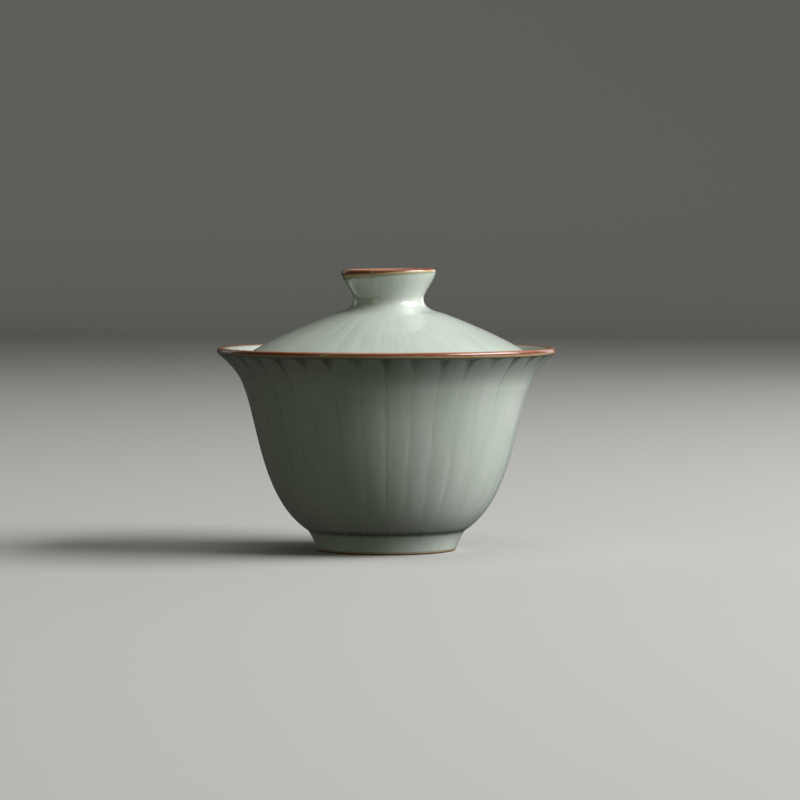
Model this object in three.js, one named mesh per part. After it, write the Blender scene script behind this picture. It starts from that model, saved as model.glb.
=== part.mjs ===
// Gaiwan: a lidded porcelain tea bowl. A fluted bowl flares to a thin lip and stands on a foot ring,
// and a loose domed lid with a hollow ring knob lies inside the lip.
// Millimetres, +Z up. The origin is the centre of the plane that the foot stands on.
// Each fired piece is made of zones that meet on level planes: wall, lip, foot and bare edge.
import * as THREE from "three";

// Driving dimensions. Every [a, b] pair below is [radius, height].
const FOOT_EDGE_HEIGHT = 0.5; // the bare clay ring under the foot
const FOOT_HEIGHT = 6;
const FOOT_RADIUS = 20.55;
const FOOT_TOP_RADIUS = 23.4;
const FOOT_INSIDE = 18.2; // the hollow under the foot, at its mouth and at its top
const FOOT_INSIDE_TOP = 17.4;
const FLOOR_HEIGHT = 8.3; // the bowl's floor inside, on the axis
const LIP_PLANE = 58.1; // the wall ends and the brown lip begins
const RIM_HEIGHT = 60;

const LID_SHIFT = 0.6; // the loose lid lies this far off the bowl's axis, within its play
const LID_BOTTOM = 54.9;
const LID_PLANE = 57.2; // the lid's rounded edge ends and its dome begins
const KNOB_PLANE = 72.5; // the knob ring is joined to the dome here
const KNOB_LIP_PLANE = 81.75;
const KNOB_HEIGHT = 83;
const RECESS_FLOOR = 75;

const RIBS = 36; // on the bowl, and again on the lid
const STEPS_PER_RIB = 3;
const SMOOTH_STEPS = 60; // round the zones that have no ribs
const WALL_GROOVE = 0.2;
const WALL_RIBS = { from: 7, full: 14, fading: 56 }; // heights, and the ribs end at the lip
const DOME_GROOVE = 0.12;
const DOME_RIBS = { from: 16, full: 22, fading: 38 }; // radii, and the ribs end at the lid's edge

// Outlines as cubic curves: start, two handles, end.
const FOOT_TOP = [FOOT_TOP_RADIUS, FOOT_HEIGHT];
const FOOT_OUTSIDE = [[FOOT_RADIUS, FOOT_EDGE_HEIGHT], [21.2, 2.2], [22.1, 4.4], FOOT_TOP];
const BELLY = [FOOT_TOP, [37, 14.8], [38.1, 38.2], [42.2, 48.4]];
const FLARE = [[42.2, 48.4], [43.3, 51.8], [45.4, 54.6], [49.6, LIP_PLANE]];
const LIP_OUTSIDE = [[49.6, LIP_PLANE], [50.5, LIP_PLANE + 0.7], [50.2, RIM_HEIGHT], [49.1, RIM_HEIGHT]];
const LIP_INSIDE = [[49.1, RIM_HEIGHT], [48.3, RIM_HEIGHT], [47.6, RIM_HEIGHT - 0.6], [46.5, LIP_PLANE]];
const FLARE_INSIDE = [[46.5, LIP_PLANE], [44.1, 55.3], [41.3, 52.6], [40.2, 49.2]];
const BELLY_INSIDE = [[40.2, 49.2], [30.2, 24.4], [38.5, FLOOR_HEIGHT], [0, FLOOR_HEIGHT]];

const LID_EDGE_OUTSIDE = [[41.7, LID_BOTTOM], [43.1, LID_BOTTOM], [43.3, 56.1], [42.4, LID_PLANE]];
const DOME = [[42.4, LID_PLANE], [38.9, 61.1], [18.4, 69.6], [15, 70.4]];
const FILLET = [[15, 70.4], [13.1, 70.85], [11.9, 71.4], [11, KNOB_PLANE]];
const DOME_INSIDE = [[0, 69], [20.4, 69], [30.4, 61.4], [39, LID_PLANE]];
const LID_EDGE_INSIDE = [[39, LID_PLANE], [40, 56.4], [40.5, LID_BOTTOM], [41.7, LID_BOTTOM]];
const KNOB_OUTSIDE = [[11, KNOB_PLANE], [8.9, 75.7], [12.3, 77.6], [13.85, KNOB_LIP_PLANE]];
const KNOB_LIP_OUTSIDE = [[13.85, KNOB_LIP_PLANE], [14.15, 82.6], [14.05, KNOB_HEIGHT], [13.2, KNOB_HEIGHT]];
const KNOB_LIP_INSIDE = [[13.2, KNOB_HEIGHT], [12.4, KNOB_HEIGHT], [12.15, 82.5], [11.85, KNOB_LIP_PLANE]];
const RECESS = [[11.85, KNOB_LIP_PLANE], [10.9, 78.6], [10.4, RECESS_FLOOR], [0, RECESS_FLOOR]];

const glaze = { color: 0xaebbb0, roughness: 0.22, metalness: 0 };
const brownGlaze = { color: 0x6e4430, roughness: 0.3, metalness: 0 };
const bareClay = { color: 0x7a5a45, roughness: 0.85, metalness: 0 };

// The points of one cubic curve.
function curve(handles, steps) {
  const [start, first, second, end] = handles.map((p) => new THREE.Vector2(...p));
  return new THREE.CubicBezierCurve(start, first, second, end).getPoints(steps);
}

// Joins runs of points into one outline, leaving out a point that repeats the one before it.
function outline(...runs) {
  const points = runs.flat();
  return points.filter((p, i) => i === 0 || p.distanceTo(points[i - 1]) > 1e-6);
}

// How much of a groove there is at an angle: 1 in the narrow valley between two ribs, 0 on a rib's crown.
function valley(angle) {
  return 1 - Math.abs(Math.sin((RIBS * angle) / 2));
}

// How deep the ribs are at a place along the wall or the dome: 0 at both ends, 1 between.
function fade(place, { from, full, fading }, end) {
  const { smoothstep } = THREE.MathUtils;
  return smoothstep(place, from, full) * (1 - smoothstep(place, fading, end));
}

// Turns an outline into a closed solid about Z. grooveAt gives the depth of the grooves at an outline
// point, and the surface is moved in by it along its normal.
function turned(name, finish, points, steps, grooveAt) {
  const geometry = new THREE.LatheGeometry(points, steps).rotateX(Math.PI / 2);
  const position = geometry.getAttribute("position");
  const normal = geometry.getAttribute("normal");
  const place = new THREE.Vector3();
  const outward = new THREE.Vector3();
  for (let i = 0; grooveAt && i < position.count; i++) {
    const depth = grooveAt(points[i % points.length]);
    if (depth === 0) continue;
    place.fromBufferAttribute(position, i);
    outward.fromBufferAttribute(normal, i);
    place.addScaledVector(outward, -depth * valley(Math.atan2(place.x, -place.y)));
    position.setXYZ(i, place.x, place.y, place.z);
  }
  const mesh = new THREE.Mesh(geometry, new THREE.MeshStandardMaterial(finish));
  mesh.name = name;
  return mesh;
}

// The fluted wall: outside from the foot to the lip, inside from the lip to the floor.
function bowlBody() {
  const outside = outline(curve(BELLY, 8), curve(FLARE, 4));
  const inside = outline(curve(FLARE_INSIDE, 3), curve(BELLY_INSIDE, 7));
  const grooveAt = (p) => (outside.includes(p) ? WALL_GROOVE * fade(p.y, WALL_RIBS, LIP_PLANE) : 0);
  const underside = [new THREE.Vector2(0, FOOT_HEIGHT)];
  return turned("bowl_body", glaze, outline(underside, outside, inside), RIBS * STEPS_PER_RIB, grooveAt);
}

// The smooth brown lip, thinner than the wall and rounded over.
function bowlLip() {
  const start = [new THREE.Vector2(...LIP_OUTSIDE[0])];
  const points = outline(curve(LIP_OUTSIDE, 4), curve(LIP_INSIDE, 3), start);
  return turned("bowl_lip", brownGlaze, points, SMOOTH_STEPS);
}

// The glazed foot ring, which spreads up to the wall and is hollow underneath.
function footRing() {
  const inside = [
    new THREE.Vector2(FOOT_INSIDE_TOP, FOOT_HEIGHT),
    new THREE.Vector2(FOOT_INSIDE, FOOT_EDGE_HEIGHT),
  ];
  const start = [new THREE.Vector2(...FOOT_OUTSIDE[0])];
  return turned("foot_ring", glaze, outline(curve(FOOT_OUTSIDE, 3), inside, start), SMOOTH_STEPS);
}

// The bare clay ring that the bowl stands on, with a small bevel each side of its flat.
function footEdge() {
  const top = FOOT_EDGE_HEIGHT;
  const section = [[FOOT_INSIDE, top], [18.5, 0], [20.3, 0], [20.5, 0.2], [FOOT_RADIUS, top]];
  const points = [...section, section[0]].map((p) => new THREE.Vector2(...p));
  return turned("foot_edge", bareClay, points, SMOOTH_STEPS);
}

// The ribbed dome, with the fillet that runs up into the knob and the smooth hollow under it.
function lidDome() {
  const ribbed = curve(DOME, 7);
  const outside = outline(ribbed, curve(FILLET, 2), [new THREE.Vector2(0, KNOB_PLANE)]);
  const inside = curve(DOME_INSIDE, 6);
  const start = [new THREE.Vector2(...DOME[0])];
  const grooveAt = (p) => (ribbed.includes(p) ? DOME_GROOVE * fade(p.x, DOME_RIBS, DOME[0][0]) : 0);
  return turned("lid_dome", glaze, outline(outside, inside, start), RIBS * STEPS_PER_RIB, grooveAt);
}

// The rounded brown edge that the lid rests on.
function lidEdge() {
  const points = outline(curve(LID_EDGE_OUTSIDE, 4), curve(LID_EDGE_INSIDE, 3));
  return turned("lid_edge", brownGlaze, points, SMOOTH_STEPS);
}

// The waisted knob ring with its dished recess.
function lidKnob() {
  const base = [new THREE.Vector2(0, KNOB_PLANE)];
  return turned("lid_knob", glaze, outline(base, curve(KNOB_OUTSIDE, 6), curve(RECESS, 5)), SMOOTH_STEPS);
}

// The knob's rounded brown rim.
function knobLip() {
  const start = [new THREE.Vector2(...KNOB_LIP_OUTSIDE[0])];
  const points = outline(curve(KNOB_LIP_OUTSIDE, 3), curve(KNOB_LIP_INSIDE, 3), start);
  return turned("knob_lip", brownGlaze, points, SMOOTH_STEPS);
}

const bowl = new THREE.Group();
bowl.add(bowlBody(), bowlLip(), footRing(), footEdge());

const lid = new THREE.Group();
lid.position.x = LID_SHIFT;
lid.add(lidDome(), lidEdge(), lidKnob(), knobLip());

const gaiwan = new THREE.Group();
gaiwan.add(bowl, lid);

export default gaiwan;
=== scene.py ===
"""A fluted celadon gaiwan in a plain pale studio.

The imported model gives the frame: its bodies, its planes and the lid's place. This script turns every
zone of the bowl and the lid again as a fine mesh, with carved ribs, rounded lips and a glaze that pools
in the grooves and thins to brown at the edges, and rides each zone on its own body.
Outlines are in millimetres, as (radius, height), and everything in Blender is in metres.
"""

import math

import bpy
import numpy as np
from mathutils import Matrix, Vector


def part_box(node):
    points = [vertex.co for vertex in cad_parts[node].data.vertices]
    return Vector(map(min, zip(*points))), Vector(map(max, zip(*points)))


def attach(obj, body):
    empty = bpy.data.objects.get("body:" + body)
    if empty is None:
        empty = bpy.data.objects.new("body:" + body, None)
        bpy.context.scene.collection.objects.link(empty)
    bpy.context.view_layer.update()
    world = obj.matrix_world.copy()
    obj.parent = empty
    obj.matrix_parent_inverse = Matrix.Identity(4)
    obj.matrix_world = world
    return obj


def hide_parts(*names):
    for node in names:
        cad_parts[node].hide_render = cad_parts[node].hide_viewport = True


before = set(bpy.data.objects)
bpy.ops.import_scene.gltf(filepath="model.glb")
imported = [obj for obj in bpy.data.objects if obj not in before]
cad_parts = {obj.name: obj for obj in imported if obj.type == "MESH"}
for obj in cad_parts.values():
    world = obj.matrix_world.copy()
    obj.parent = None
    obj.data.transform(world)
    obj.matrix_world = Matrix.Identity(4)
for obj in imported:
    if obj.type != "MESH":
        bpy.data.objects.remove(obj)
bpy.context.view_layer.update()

MM = 0.001


def corners(node):
    """A CAD node's lowest and highest corners in millimetres."""
    return [np.array(corner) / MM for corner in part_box(node)]


# Planes where the zones meet, and the lid's place, from the frame.
FOOT_EDGE_TOP = corners("foot_edge")[1][2]
FOOT_TOP_RADIUS, _, FOOT_TOP = corners("foot_ring")[1]
LIP_PLANE, RIM = corners("bowl_lip")[0][2], corners("bowl_lip")[1][2]
LID_BOTTOM, LID_PLANE = corners("lid_edge")[0][2], corners("lid_edge")[1][2]
KNOB_PLANE, KNOB_LIP_PLANE = corners("lid_knob")[0][2], corners("lid_knob")[1][2]
KNOB_RADIUS = (corners("knob_lip")[1][0] - corners("knob_lip")[0][0]) / 2
KNOB_TOP = corners("knob_lip")[1][2]
LID_CENTRE = (corners("lid_edge")[0][0] + corners("lid_edge")[1][0]) / 2

# Sizes that the frame's boxes don't give, in millimetres.
FOOT_RADIUS = 20.55  # where the foot's glaze stops outside
FOOT_HOLLOW = 18.2  # radius of the hollow under the foot, at its mouth
BOWL_FLOOR = 8.3
LID_HOLLOW_TOP = 69  # heights
RECESS_FLOOR = 75  # of the dished recess in the knob

# The carving: ribs round the bowl and the lid, with a narrow groove between each two.
RIBS = 36
WALL_GROOVE = 0.058  # depths, in millimetres
ARCH_GROOVE = 0.2  # between the ribs' rounded ends
DOME_GROOVE = 0.03
WALL_PHASE = 0.0  # how far the ribs are turned round the axis, in degrees
DOME_PHASE = -3.0
WALL_RIBS = (7, 20)  # heights between which the ribs grow out of the foot
DOME_RIBS = (15.5, 23)  # radii between which they grow out of the knob
DOME_RIBS_END = (39, 42.4)  # radii between which they die out at the lid's edge
ARCH_START = 54.0  # the ribs' rounded ends begin at this height
ARCH_END = 60.0  # and would close at this one, if the lip didn't cut them off
ARCH_CURVE = 2.4  # the power that rounds the ends
UNDER_LIP = (52, 57)  # heights between which the grooves deepen and the glaze in them thickens and darkens, partly as painted shade under the lip
LIP_CLEARANCE = 0.7  # the ribs die out over this height, just below the lip
NARROWEST = 1e-3  # half width of a rib at its very end, as a share
SHARPNESS = 0.2  # the share of a groove's depth that is a crease, where the rest is round
# Columns of points across one rib, as shares of its width, crowded at the groove on each side.
COLUMNS_IN_RIB = (0, 0.022, 0.05, 0.09, 0.16, 0.26, 0.38, 0.5, 0.62, 0.74, 0.84, 0.91, 0.95, 0.978)

# How unevenly a hand cuts the grooves.
GROOVE_STRAY = 0.018  # sideways, from groove to groove, as a share of a rib's width
GROOVE_SWAY = 0.012  # sideways, along each groove
SWAY_LENGTH = 14  # millimetres of height for each radian of sway
PRESS_SPREAD = 0.2  # in depth, from groove to groove, as a share of it
PRESS_SWAY = 0.25  # in depth, along each groove
PRESS_LENGTH = 9  # millimetres of height for each radian of it
PRESS_LIMITS = (0.35, 1.25)

KNOB_SLANT = 0.014  # the knob's rim was trimmed this far out of level, as rise over run
KNOB_SLANT_START = 74.5  # the slant grows from this height up to the rim

# The glaze thickens away from its edges. A run is how many millimetres of EDGE_STOPS pass in each
# real one. The knob's is more than KNOB_RUN at its right and less at its left, where the brown is wide.
RIM_INSIDE_RUN = 2.4
FOOT_RUN = 2.2
KNOB_RUN = 1.05
KNOB_RUN_UNEVEN = 0.35
FOOT_START = 1.9  # the glaze stops on the foot at this place in EDGE_STOPS, in the tan
FOOT_GLAZE_TOP = FOOT_TOP - 0.4  # and counts as thick above this height
FAR = 9  # millimetres, well past the end of EDGE_STOPS
WALL_POOL = 0.15  # how thickly the glaze lies in the grooves, from 0 to 1
ARCH_POOL_AND_SHADE = 0.41  # and this much more between the ribs' ends, partly thicker glaze and partly painted shade under the lip
DOME_POOL = 0.1
WALL_POOL_RISE = (12, 26)  # heights between which the pools begin
CREASE_ABOVE_FOOT = 0.2  # a pool of glaze, darkened further as painted shade in the crease, lies round the top of the foot, this far above it
CREASE_WIDTH = 0.8
STREAK_LENGTH = 400  # millimetres down the outline that stretch a streak as one radian round it does

CURVE_STEPS = 400  # for measuring along a cubic curve
AXIS = 1e-6  # a point nearer the axis than this is on it

random = np.random.default_rng(36)


# ---------------------------------------------------------------- outlines

def cubic(handles, spacing):
    """Points about `spacing` apart along one cubic curve."""
    start, first, second, end = (np.array(h, float) for h in handles)
    t = np.linspace(0, 1, CURVE_STEPS)[:, None]
    u = 1 - t
    fine = u ** 3 * start + 3 * u ** 2 * t * first + 3 * u * t ** 2 * second + t ** 3 * end
    run = distance_along(fine)
    stops = np.linspace(0, run[-1], max(2, round(run[-1] / spacing) + 1))
    return np.column_stack([np.interp(stops, run, fine[:, k]) for k in (0, 1)])


def distance_along(points):
    """How far each point is from the first, along the line of points."""
    return np.concatenate([[0], np.cumsum(np.linalg.norm(np.diff(points, axis=0), axis=1))])


def straight(start, end):
    """Handles of a cubic that is a straight line."""
    start, end = np.array(start, float), np.array(end, float)
    return [start, start + (end - start) / 3, start + (end - start) * 2 / 3, end]


def trace(strokes):
    """Joins (zone, handles, spacing) strokes into one outline.
    Returns its points and each zone's runs of rows."""
    points, runs = [], []
    for zone, handles, spacing in strokes:
        drawn = cubic(handles, spacing)
        first = max(0, len(points) - 1)
        points.extend(drawn if not points else drawn[1:])
        if runs and runs[-1][0] == zone:
            runs[-1][2] = len(points) - 1
        else:
            runs.append([zone, first, len(points) - 1])
    return np.array(points), runs


FOOT_ROOF = (14, FOOT_TOP)  # the hollow's flat roof ends here, and its rounded corner begins
FOOT_CORNER = (17.3, FOOT_TOP - 0.5)
FOOT_INSIDE = (FOOT_HOLLOW, FOOT_EDGE_TOP)
FOOT_OUTSIDE = (FOOT_RADIUS, FOOT_EDGE_TOP)
FLAT_FROM, FLAT_TO = (18.8, 0), (20.1, 0)  # the flat that the foot stands on
WALL_START = (FOOT_TOP_RADIUS, FOOT_TOP)
FLARE = (42.2, 48.4)
LIP_START = (49.6, LIP_PLANE)
RIM_TOP = (49.1, RIM)
LIP_END = (46.5, LIP_PLANE)
FLARE_INSIDE = (40.2, 49.2)

BOWL_STROKES = [
    ("wall", straight((0, FOOT_TOP), FOOT_ROOF), 2.5),
    ("wall", [FOOT_ROOF, (15.8, FOOT_TOP), (16.7, FOOT_TOP), FOOT_CORNER], 0.5),
    ("foot", [FOOT_CORNER, (17.8, FOOT_TOP - 1), (18.1, 3), FOOT_INSIDE], 0.6),
    ("edge", [FOOT_INSIDE, (18.25, 0.2), (18.35, 0), FLAT_FROM], 0.12),
    ("edge", straight(FLAT_FROM, FLAT_TO), 0.4),
    ("edge", [FLAT_TO, (20.4, 0), (20.5, 0.2), FOOT_OUTSIDE], 0.12),
    ("foot", [FOOT_OUTSIDE, (21.2, 2.2), (22.1, 4.4), WALL_START], 0.3),
    ("wall", [WALL_START, (37, 14.8), (38.1, 38.2), FLARE], 0.75),
    ("wall", [FLARE, (43.3, 51.8), (45.4, 54.6), LIP_START], 0.25),
    ("lip", [LIP_START, (50.5, LIP_PLANE + 0.7), (50.2, RIM), RIM_TOP], 0.12),
    ("lip", [RIM_TOP, (48.3, RIM), (47.6, RIM - 0.6), LIP_END], 0.2),
    ("wall", [LIP_END, (44.1, 55.3), (41.3, 52.6), FLARE_INSIDE], 0.8),
    ("wall", [FLARE_INSIDE, (30.2, 24.4), (38.5, BOWL_FLOOR), (0, BOWL_FLOOR)], 2.0),
]

LID_INSIDE = (39, LID_PLANE)
LID_LOWEST = (41.7, LID_BOTTOM)
LID_OUTSIDE = (42.4, LID_PLANE)
FILLET = (15, 70.4)  # the dome turns up into the knob from here
KNOB_START = (11, KNOB_PLANE)
KNOB_LIP_START = (13.95, KNOB_LIP_PLANE)
KNOB_LIP_TOP = (12.9, KNOB_TOP)
KNOB_LIP_END = (11.85, KNOB_LIP_PLANE)

LID_STROKES = [
    ("dome", [(0, LID_HOLLOW_TOP), (20.4, LID_HOLLOW_TOP), (30.4, 61.4), LID_INSIDE], 1.8),
    ("edge", [LID_INSIDE, (40, 56.4), (40.5, LID_BOTTOM), LID_LOWEST], 0.25),
    ("edge", [LID_LOWEST, (43.1, LID_BOTTOM), (43.3, 56.1), LID_OUTSIDE], 0.2),
    ("dome", [LID_OUTSIDE, (38.9, 61.1), (18.4, 69.6), FILLET], 0.6),
    ("dome", [FILLET, (13.1, 70.85), (11.9, 71.4), KNOB_START], 0.3),
    ("knob", [KNOB_START, (8.9, 75.7), (12.9, 77.6), KNOB_LIP_START], 0.4),
    ("lip", [KNOB_LIP_START, (14.1, 82.3), (13.9, KNOB_TOP), KNOB_LIP_TOP], 0.12),
    ("lip", [KNOB_LIP_TOP, (12.3, KNOB_TOP), (12.1, 82.5), KNOB_LIP_END], 0.15),
    ("knob", [KNOB_LIP_END, (10.9, 78.6), (10.4, RECESS_FLOOR), (0, RECESS_FLOOR)], 0.5),
]


# ---------------------------------------------------------------- surfaces

def smoothstep(x, low, high):
    t = np.clip((x - low) / (high - low), 0, 1)
    return t * t * (3 - 2 * t)


class Turned:
    """A whole fired piece as one grid of points: rows along its outline, columns round its axis.
    The pool value says how thickly the glaze lies, and also carries painted shade under the lip and above
    the foot, and `flow` is a place that changes fast round the piece and slowly down it, for the streaks
    of a glaze that ran.
    `edge_mm`, which the piece's own function sets, is the distance from the nearest glaze edge."""

    def __init__(self, strokes, centre, phase):
        self.outline, self.runs = trace(strokes)
        self.arc = distance_along(self.outline)
        step = np.gradient(self.outline, self.arc, axis=0)
        step /= np.linalg.norm(step, axis=1)[:, None]
        self.normal = np.column_stack([step[:, 1], -step[:, 0]])
        self.centre = centre
        self.radius = self.outline[:, :1]
        self.height = self.outline[:, 1:]
        self.top = int(np.argmax(self.height))
        self.set_columns(phase)
        self.depth = np.zeros(self.angle.shape)
        self.pool = np.zeros(self.angle.shape)
        down = np.broadcast_to(self.arc[:, None] / STREAK_LENGTH, self.angle.shape)
        self.flow = np.stack([np.sin(self.angle), np.cos(self.angle), down], axis=-1)

    def set_columns(self, phase):
        """Columns crowd together at the grooves, and each groove strays a little, as a hand cuts it."""
        pitch = math.radians(360 / RIBS)
        share = np.array(COLUMNS_IN_RIB)
        place = np.arange(RIBS)[:, None] + share
        stray = random.normal(0, GROOVE_STRAY, RIBS)
        sway = random.normal(0, GROOVE_SWAY, RIBS)
        turn = random.uniform(0, 2 * math.pi, RIBS)
        groove = stray + sway * np.sin(self.height / SWAY_LENGTH + turn)
        ahead = np.roll(groove, -1, axis=1)
        shift = groove[:, :, None] * (1 - share) + ahead[:, :, None] * share
        self.angle = (place + shift).reshape(len(self.outline), -1) * pitch + math.radians(phase)
        self.off_crown = np.abs(np.tile(share, RIBS)[None] - 0.5) * 2
        along = np.sin(self.height / PRESS_LENGTH + np.roll(turn, 7))  # out of step with the sway
        press = 1 + random.normal(0, PRESS_SPREAD, RIBS) + PRESS_SWAY * along
        nearest = np.arange(RIBS)[:, None] + (share > 0.5)  # the groove on the nearer side of the rib
        self.strength = np.clip(press, *PRESS_LIMITS)[:, nearest.ravel() % RIBS]

    def outside(self, zone):
        """True on the zone's rows that face out, on the way up to the outline's highest point."""
        rows = np.zeros(len(self.outline), bool)
        for name, first, last in self.runs:
            if name == zone and last <= self.top and self.normal[first : last + 1, 0].mean() > 0:
                rows[first : last + 1] = True
        return rows[:, None]

    def points(self, slant=None):
        """The grid in metres, (rows, columns, 3). slant(height) is the rise over run towards +X, from the
        knob's left side."""
        radius = self.radius - self.normal[:, :1] * self.depth
        height = self.height - self.normal[:, 1:] * self.depth
        x = radius * np.sin(self.angle)
        y = -radius * np.cos(self.angle)
        if slant is not None:
            height = height + slant(self.height) * (x + KNOB_RADIUS)
        return np.stack([x + self.centre, y, height], axis=-1) * MM

    def smooth_normals(self, grid):
        """The normals of the grid as one smooth surface."""
        along = np.gradient(grid, self.arc, axis=0)
        around = np.roll(grid, -1, axis=1) - np.roll(grid, 1, axis=1)
        normal = np.cross(around, along)
        length = np.linalg.norm(normal, axis=-1, keepdims=True)
        at_axis = np.zeros_like(normal)
        at_axis[..., 2] = np.sign(self.normal[:, 1:])
        on_axis = self.radius[..., None] < AXIS
        return np.where(on_axis, at_axis, normal / np.where(length > 0, length, 1))


def carve(surface, zone, groove, pool, arch, fade):
    """Cuts the ribs into the zone's outside, `groove` deep. `arch` is a rib's half width, from 1 down
    to almost 0 at its rounded end, and `fade` is how much of the ribs shows."""
    reach = np.minimum(surface.off_crown / arch, 1)
    valley = (1 - SHARPNESS) * reach ** 2 + SHARPNESS * reach ** 4
    shown = surface.outside(zone) * fade
    surface.depth += groove * valley * shown * surface.strength
    surface.pool = np.maximum(surface.pool, pool * reach ** 4 * surface.outside(zone))


def bowl_surface():
    bowl = Turned(BOWL_STROKES, 0.0, WALL_PHASE)
    height = bowl.height
    under_lip = smoothstep(height, *UNDER_LIP)
    up_arch = np.clip((height - ARCH_START) / (ARCH_END - ARCH_START), 0, 1)
    # Under the lip the glaze between the ribs' ends is darker: partly thicker glaze, partly painted
    # shade.
    pool = WALL_POOL + ARCH_POOL_AND_SHADE * under_lip
    ending = smoothstep(height, LIP_PLANE - LIP_CLEARANCE, LIP_PLANE)
    carve(
        bowl, "wall",
        groove=WALL_GROOVE + (ARCH_GROOVE - WALL_GROOVE) * under_lip,
        pool=pool * bowl.strength * smoothstep(height, *WALL_POOL_RISE),
        arch=np.maximum(1 - up_arch ** ARCH_CURVE, NARROWEST),
        fade=smoothstep(height, *WALL_RIBS) * (1 - ending),
    )
    # A dark band round the crease above the foot: partly thicker glaze, partly painted shade.
    from_crease = (height - FOOT_TOP - CREASE_ABOVE_FOOT) / CREASE_WIDTH
    crease_pool_and_shade = np.exp(-(from_crease ** 2)) * (bowl.outside("wall") | bowl.outside("foot"))
    bowl.pool = np.maximum(bowl.pool, crease_pool_and_shade)
    from_rim = (bowl.arc - bowl.arc[bowl.top])[:, None]
    from_rim = np.where(from_rim < 0, -from_rim, from_rim * RIM_INSIDE_RUN)
    on_foot = height < FOOT_GLAZE_TOP
    from_foot = FOOT_START + np.where(on_foot, (height - FOOT_EDGE_TOP) * FOOT_RUN, FAR)
    bowl.edge_mm = np.broadcast_to(np.minimum(from_rim, from_foot), bowl.angle.shape)
    return bowl


def lid_surface():
    lid = Turned(LID_STROKES, LID_CENTRE, DOME_PHASE)
    from_fillet = smoothstep(lid.radius, *DOME_RIBS)
    carve(
        lid, "dome",
        groove=DOME_GROOVE,
        pool=DOME_POOL * from_fillet,
        arch=1.0,
        fade=from_fillet * (1 - smoothstep(lid.radius, *DOME_RIBS_END)),
    )
    lowest = int(np.argmin(lid.height))
    from_knob = np.abs(lid.arc - lid.arc[lid.top])[:, None]
    from_knob = from_knob * (KNOB_RUN + KNOB_RUN_UNEVEN * np.sin(lid.angle))
    from_lid = np.abs(lid.arc - lid.arc[lowest])[:, None]
    lid.edge_mm = np.minimum(from_knob, from_lid)
    return lid


def zone_grid(surface, zone, slant):
    """The zone's points, its values at each point, and its rows. A row says where its points start,
    whether it is one point on the axis, and whether it ends a run."""
    grid = surface.points(slant)
    normals = surface.smooth_normals(grid)
    verts, values, rows = [], [], []
    count = 0
    for first, last in [run[1:] for run in surface.runs if run[0] == zone]:
        for i in range(first, last + 1):
            on_axis = surface.outline[i, 0] < AXIS
            take = slice(0, 1) if on_axis else slice(None)
            rows.append((count, on_axis, i == last))
            verts.append(grid[i, take])
            values.append({
                "edge_mm": surface.edge_mm[i, take],
                "pool": surface.pool[i, take],
                "normal": normals[i, take],
                "flow": surface.flow[i, take],
            })
            count += len(verts[-1])
    return np.vstack(verts), {k: np.concatenate([v[k] for v in values]) for k in values[0]}, rows


def zone_faces(rows, columns):
    """Faces between each two rows, and back from the last to the first. A face that joins two runs is a
    seam: it closes the zone where it meets its neighbours."""
    faces, seams = [], []
    around = [(k, (k + 1) % columns) for k in range(columns)]
    for (a, a_on_axis, ends_run), (b, b_on_axis, _) in zip(rows, rows[1:] + rows[:1]):
        if a_on_axis and b_on_axis:
            continue
        if a_on_axis:
            made = [(b + n, b + k, a) for k, n in around]
        elif b_on_axis:
            made = [(a + k, a + n, b) for k, n in around]
        else:
            made = [(a + k, a + n, b + n, b + k) for k, n in around]
        faces.extend(made)
        seams.extend([ends_run] * columns)
    return faces, seams


def zone_mesh(name, surface, zone, slant=None):
    """One zone of a fired piece as a closed mesh. Its visible faces keep the whole piece's smooth
    normals, so that no line shows between zones, and its seams are flat."""
    verts, values, rows = zone_grid(surface, zone, slant)
    faces, seams = zone_faces(rows, surface.angle.shape[1])
    mesh = bpy.data.meshes.new(name)
    mesh.from_pydata(verts.tolist(), [], faces)
    mesh.polygons.foreach_set("use_smooth", [not seam for seam in seams])
    for label in ("edge_mm", "pool"):
        layer = mesh.attributes.new(label, "FLOAT", "POINT")
        layer.data.foreach_set("value", values[label].astype(np.float32))
    layer = mesh.attributes.new("flow", "FLOAT_VECTOR", "POINT")
    layer.data.foreach_set("vector", values["flow"].astype(np.float32).ravel())
    corner_normals = []
    for polygon, seam in zip(mesh.polygons, seams):
        for v in polygon.vertices:
            corner_normals.append(tuple(polygon.normal if seam else values["normal"][v]))
    mesh.normals_split_custom_set(corner_normals)
    return mesh


def add_zone(name, surface, zone, node, material, slant=None):
    """Makes the zone's piece, which stands for the CAD node and rides on the node's body."""
    mesh = zone_mesh(name, surface, zone, slant)
    mesh.materials.append(material)
    piece = bpy.data.objects.new(name, mesh)
    bpy.context.scene.collection.objects.link(piece)
    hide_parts(node)
    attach(piece, "bowl" if surface.centre == 0 else "lid")


# ---------------------------------------------------------------- materials

def srgb(red, green, blue):
    """A colour from 0-255 screen values to Blender's linear ones."""
    def linear(c):
        c /= 255
        return c / 12.92 if c <= 0.04045 else ((c + 0.055) / 1.055) ** 2.4
    return (linear(red), linear(green), linear(blue), 1.0)


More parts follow.
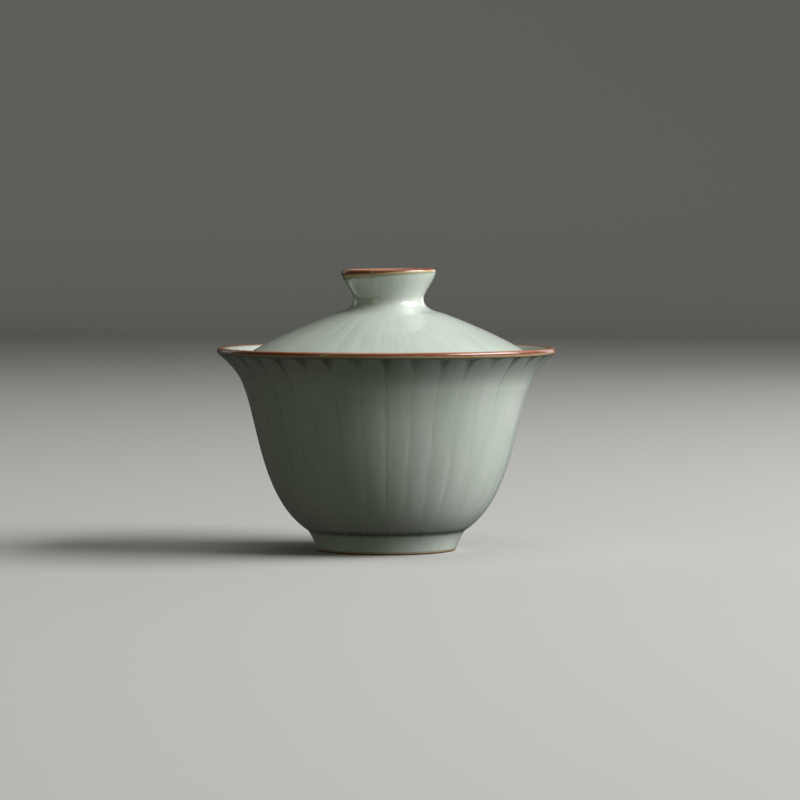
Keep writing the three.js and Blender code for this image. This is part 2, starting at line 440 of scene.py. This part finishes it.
class Tree:
    """A short way to write a material's nodes."""

    def __init__(self, name):
        self.material = bpy.data.materials.new(name)
        self.material.use_nodes = True
        self.nodes = self.material.node_tree.nodes
        self.links = self.material.node_tree.links
        self.shader = self.nodes["Principled BSDF"]
        self.place = self.nodes.new("ShaderNodeTexCoord").outputs["Object"]

    def put(self, target, value):
        """Links a socket to the target, or sets a plain value on it."""
        if isinstance(value, bpy.types.NodeSocket):
            self.links.new(value, target)
        else:
            target.default_value = value

    def attribute(self, name, output="Fac"):
        node = self.nodes.new("ShaderNodeAttribute")
        node.attribute_name = name
        return node.outputs[output]

    def noise(self, scale, detail=3, roughness=0.5, place=None):
        node = self.nodes.new("ShaderNodeTexNoise")
        self.links.new(place or self.place, node.inputs["Vector"])
        node.inputs["Scale"].default_value = scale
        node.inputs["Detail"].default_value = detail
        node.inputs["Roughness"].default_value = roughness
        return node.outputs["Fac"]

    def specks(self, per_metre, size, strength):
        """Small scattered dots, where a random cell's centre lies near the surface."""
        node = self.nodes.new("ShaderNodeTexVoronoi")
        self.links.new(self.place, node.inputs["Vector"])
        node.inputs["Scale"].default_value = per_metre
        return self.span(node.outputs["Distance"], size, size * 0.4, (0, strength))

    def math(self, operation, a, b=0.0, clamp=False):
        node = self.nodes.new("ShaderNodeMath")
        node.operation = operation
        node.use_clamp = clamp
        self.put(node.inputs[0], a)
        self.put(node.inputs[1], b)
        return node.outputs[0]

    def span(self, value, low, high, out=(0, 1)):
        """Maps low to out[0] and high to out[1], and holds both ends."""
        node = self.nodes.new("ShaderNodeMapRange")
        self.put(node.inputs["Value"], value)
        node.inputs["From Min"].default_value = low
        node.inputs["From Max"].default_value = high
        node.inputs["To Min"].default_value = out[0]
        node.inputs["To Max"].default_value = out[1]
        return node.outputs["Result"]

    def mix(self, factor, a, b):
        """Mixes two colours, each a value or a socket."""
        node = self.nodes.new("ShaderNodeMix")
        node.data_type = "RGBA"
        self.put(node.inputs["Factor"], factor)
        self.put(node.inputs[6], a)
        self.put(node.inputs[7], b)
        return node.outputs[2]

    def ramp(self, value, stops):
        """stops is [(place, colour, alpha)]. Returns the colour and the alpha."""
        node = self.nodes.new("ShaderNodeValToRGB")
        self.put(node.inputs["Fac"], value)
        elements = node.color_ramp.elements
        while len(elements) < len(stops):
            elements.new(0.5)
        for element, (place, colour, alpha) in zip(elements, stops):
            element.position = place
            element.color = (*colour[:3], alpha)
        return node.outputs["Color"], node.outputs["Alpha"]

    def bump(self, height, distance, strength, under=None):
        """A bump of `distance` metres, on top of the normal `under` it."""
        node = self.nodes.new("ShaderNodeBump")
        node.inputs["Strength"].default_value = strength
        node.inputs["Distance"].default_value = distance
        self.put(node.inputs["Height"], height)
        if under is not None:
            self.links.new(under, node.inputs["Normal"])
        return node.outputs["Normal"]


EDGE_SPAN = 4.0  # millimetres of glaze edge that the stops below cover
EDGE_STOPS = [  # millimetres from the edge, the colour there, and how far it hides the celadon
    (0.0, srgb(176, 134, 108), 1.0),
    (0.6, srgb(162, 108, 80), 1.0),
    (0.85, srgb(144, 82, 56), 1.0),
    (1.0, srgb(112, 55, 34), 1.0),
    (1.45, srgb(106, 54, 34), 1.0),
    (1.65, srgb(158, 114, 82), 1.0),
    (1.9, srgb(184, 158, 124), 1.0),
    (2.2, srgb(162, 148, 115), 1.0),
    (2.45, srgb(124, 124, 94), 0.85),
    (2.75, srgb(112, 120, 92), 0.4),
    (3.2, srgb(140, 148, 124), 0.0),
]

CELADON = srgb(178, 187, 179)
CELADON_PALE = srgb(189, 194, 189)
MILKY = srgb(204, 212, 200)
STREAK = srgb(157, 169, 155)
FINE_STREAK = srgb(154, 167, 152)
IRON_SPECK = srgb(104, 92, 62)
# The darker green of thick glaze, also used as painted shade between the ribs' ends under the lip and in
# the crease above the foot.
POOLED_GLAZE_AND_SHADE = srgb(80, 94, 68)
CLAY = srgb(96, 66, 46)
CLAY_PALE = srgb(134, 98, 68)
CLAY_GRAIN = srgb(70, 46, 32)
PAPER = srgb(166, 165, 163)


def celadon_body(t):
    """The celadon's own colour, streaked as it ran, specked with iron and greener where it pools; the
    pooled colour also paints the shade under the lip and in the crease above the foot.
    """
    flow = t.attribute("flow", "Vector")
    clouds = t.span(t.noise(45, detail=2), 0.35, 0.65)
    bubbles = t.span(t.noise(700, detail=4, roughness=0.6), 0.3, 0.7, out=(0, 0.06))
    streaks = t.span(t.noise(20, detail=2, place=flow), 0.35, 0.65, out=(0, 0.3))
    fine_streaks = t.span(t.noise(60, roughness=0.6, place=flow), 0.3, 0.7, out=(0, 0.16))
    specks = t.specks(per_metre=260, size=0.05, strength=0.55)
    bared = t.span(t.noise(28, detail=2, place=flow), 0.4, 0.6, out=(0, 0.2))
    pool = t.math("SUBTRACT", t.attribute("pool"), bared, clamp=True)
    body = t.mix(clouds, CELADON, CELADON_PALE)
    body = t.mix(bubbles, body, MILKY)
    body = t.mix(streaks, body, STREAK)
    body = t.mix(fine_streaks, body, FINE_STREAK)
    body = t.mix(specks, body, IRON_SPECK)
    return t.mix(pool, body, POOLED_GLAZE_AND_SHADE)


def edge_colour(t):
    """The colour of the thin glaze near an edge, and how far it hides the celadon. Its bands waver."""
    stray = t.span(t.noise(420), 0.2, 0.8, out=(-0.12, 0.12))
    drift = t.span(t.noise(30, detail=1), 0.25, 0.75, out=(-0.16, 0.16))
    distance = t.math("ADD", t.math("ADD", t.attribute("edge_mm"), stray), drift)
    thin = t.math("DIVIDE", distance, EDGE_SPAN, clamp=True)
    return t.ramp(thin, [(mm / EDGE_SPAN, colour, cover) for mm, colour, cover in EDGE_STOPS])


def glaze(name, roughness):
    """Celadon over pale clay, which goes through olive and tan to red-brown at an edge."""
    t = Tree(name)
    body = celadon_body(t)
    colour, cover = edge_colour(t)
    t.put(t.shader.inputs["Base Color"], t.mix(cover, body, colour))
    uneven = t.span(t.noise(120), 0.3, 0.7, out=(roughness - 0.03, roughness + 0.05))
    t.put(t.shader.inputs["Roughness"], uneven)
    t.shader.inputs["IOR"].default_value = 1.5
    t.shader.inputs["Coat Weight"].default_value = 0.6
    t.shader.inputs["Coat Roughness"].default_value = 0.045
    t.shader.inputs["Coat IOR"].default_value = 1.5
    ripple = t.bump(t.noise(90, detail=2), distance=0.00012, strength=0.5)
    pitted = t.bump(t.noise(500, detail=1), distance=0.000008, strength=0.3, under=ripple)
    t.put(t.shader.inputs["Normal"], pitted)
    return t.material


def bare_clay():
    """Unglazed fired clay, brown and finely grained."""
    t = Tree("bare_clay")
    grain = t.noise(2600, detail=5, roughness=0.65)
    colour = t.mix(t.span(t.noise(120), 0.3, 0.7), CLAY, CLAY_PALE)
    colour = t.mix(t.span(grain, 0.35, 0.7, out=(0, 0.5)), colour, CLAY_GRAIN)
    t.put(t.shader.inputs["Base Color"], colour)
    t.put(t.shader.inputs["Roughness"], t.span(grain, 0.3, 0.7, out=(0.7, 0.95)))
    t.put(t.shader.inputs["Normal"], t.bump(grain, distance=0.00004, strength=0.8))
    return t.material


def studio_paper():
    t = Tree("studio_paper")
    t.shader.inputs["Base Color"].default_value = PAPER
    t.shader.inputs["Roughness"].default_value = 0.9
    return t.material


# ---------------------------------------------------------------- the object

def knob_slant(height):
    return KNOB_SLANT * smoothstep(height, KNOB_SLANT_START, KNOB_LIP_PLANE)


celadon = glaze("celadon_glaze", 0.33)
brown = glaze("brown_lip_glaze", 0.3)
clay = bare_clay()

bowl = bowl_surface()
add_zone("glazed_bowl_wall", bowl, "wall", "bowl_body", celadon)
add_zone("brown_bowl_lip", bowl, "lip", "bowl_lip", brown)
add_zone("glazed_foot_ring", bowl, "foot", "foot_ring", celadon)
add_zone("bare_foot_edge", bowl, "edge", "foot_edge", clay)

lid = lid_surface()
add_zone("glazed_lid_dome", lid, "dome", "lid_dome", celadon)
add_zone("brown_lid_edge", lid, "edge", "lid_edge", brown)
add_zone("glazed_lid_knob", lid, "knob", "lid_knob", celadon, knob_slant)
add_zone("brown_knob_lip", lid, "lip", "knob_lip", brown, knob_slant)


# ---------------------------------------------------------------- studio

FLOOR_REACH = 2.2  # metres, as all of the studio is
SWEEP = 0.9  # radius of the bend from the floor up into the wall
SWEEP_STEPS = 24
WALL_HEIGHT = 3.2
FLOOR_SIDES = 96
MIDDLE = (0, 0, 0.045)  # of the object
AIR = (1.0, 1.0, 0.92, 1)
AIR_STRENGTH = 0.04
CAMERA_PLACE = (0.004, -1.149, 0.0966)
CAMERA_AIM = (0.004, 0, 0.0444)
CAMERA_LENS = 174.9  # millimetres
CAMERA_SENSOR = 36


def studio_floor():
    """A pale floor that sweeps up into a pale wall on every side. The glaze neither mirrors it nor takes
    light from it."""
    bend = [(FLOOR_REACH + SWEEP * math.sin(a), SWEEP * (1 - math.cos(a)))
            for a in np.linspace(0, math.pi / 2, SWEEP_STEPS)]
    section = [(0.0, 0.0), *bend, (FLOOR_REACH + SWEEP, WALL_HEIGHT)]
    turns = [2 * math.pi * k / FLOOR_SIDES for k in range(FLOOR_SIDES)]
    verts = [(r * math.cos(turn), r * math.sin(turn), z) for r, z in section for turn in turns]
    faces = []
    for row in range(len(section) - 1):
        low, high = row * FLOOR_SIDES, (row + 1) * FLOOR_SIDES
        for k in range(FLOOR_SIDES):
            n = (k + 1) % FLOOR_SIDES
            faces.append((low + k, low + n, high + n, high + k))
    mesh = bpy.data.meshes.new("studio_floor")
    mesh.from_pydata(verts, [], faces)
    mesh.polygons.foreach_set("use_smooth", [True] * len(faces))
    mesh.materials.append(studio_paper())
    floor = bpy.data.objects.new("studio_floor", mesh)
    bpy.context.scene.collection.objects.link(floor)
    floor.visible_diffuse = False
    floor.visible_glossy = False


def soft_light(name, place, size, watts, tint=(1, 1, 1), shine=True):
    """A soft light aimed at the object. Without shine it leaves no reflection in the glaze."""
    lamp = bpy.data.lights.new(name, "AREA")
    lamp.shape = "RECTANGLE"
    lamp.size, lamp.size_y = size
    lamp.energy = watts
    lamp.color = tint
    light = bpy.data.objects.new(name, lamp)
    light.location = place
    light.rotation_euler = (Vector(MIDDLE) - Vector(place)).to_track_quat("-Z", "Y").to_euler()
    light.visible_camera = False
    light.visible_glossy = shine
    bpy.context.scene.collection.objects.link(light)


def dim_air():
    """The faint even light from all around."""
    world = bpy.data.worlds.new("studio_air")
    world.use_nodes = True
    background = world.node_tree.nodes["Background"]
    background.inputs["Color"].default_value = AIR
    background.inputs["Strength"].default_value = AIR_STRENGTH
    bpy.context.scene.world = world


def add_camera():
    camera = bpy.data.objects.new("camera", bpy.data.cameras.new("camera"))
    bpy.context.scene.collection.objects.link(camera)
    camera.data.sensor_width = CAMERA_SENSOR
    camera.data.lens = CAMERA_LENS
    camera.location = CAMERA_PLACE
    look = Vector(CAMERA_AIM) - camera.location
    camera.rotation_euler = look.to_track_quat("-Z", "Y").to_euler()
    bpy.context.scene.camera = camera


studio_floor()
soft_light("key_light", (1.25, -0.2, 1.0), (1.4, 0.8), 47)
soft_light("right_window", (1.2, 0.05, 0.16), (1.4, 0.3), 7.5, tint=(0.98, 1, 0.95), shine=False)
soft_light("front_fill", (0.5, -1.4, 0.35), (1.2, 0.8), 1.5, tint=(0.93, 1, 0.72), shine=False)
soft_light("top_light", (-0.1, -0.15, 1.7), (1.2, 1.0), 7.5, tint=(0.96, 1, 0.88))
soft_light("left_window", (-0.85, -0.9, 0.45), (0.07, 0.7), 0.85, tint=(0.88, 1, 0.55))
soft_light("right_back", (0.75, 1.1, 0.3), (0.5, 0.7), 1.5)
soft_light("left_back", (-0.9, 1.0, 0.35), (0.5, 0.7), 0.5)
soft_light("back_window", (0.1, 1.25, 0.78), (0.14, 0.08), 0.06)
dim_air()
bpy.context.scene.view_settings.view_transform = "Standard"
add_camera()
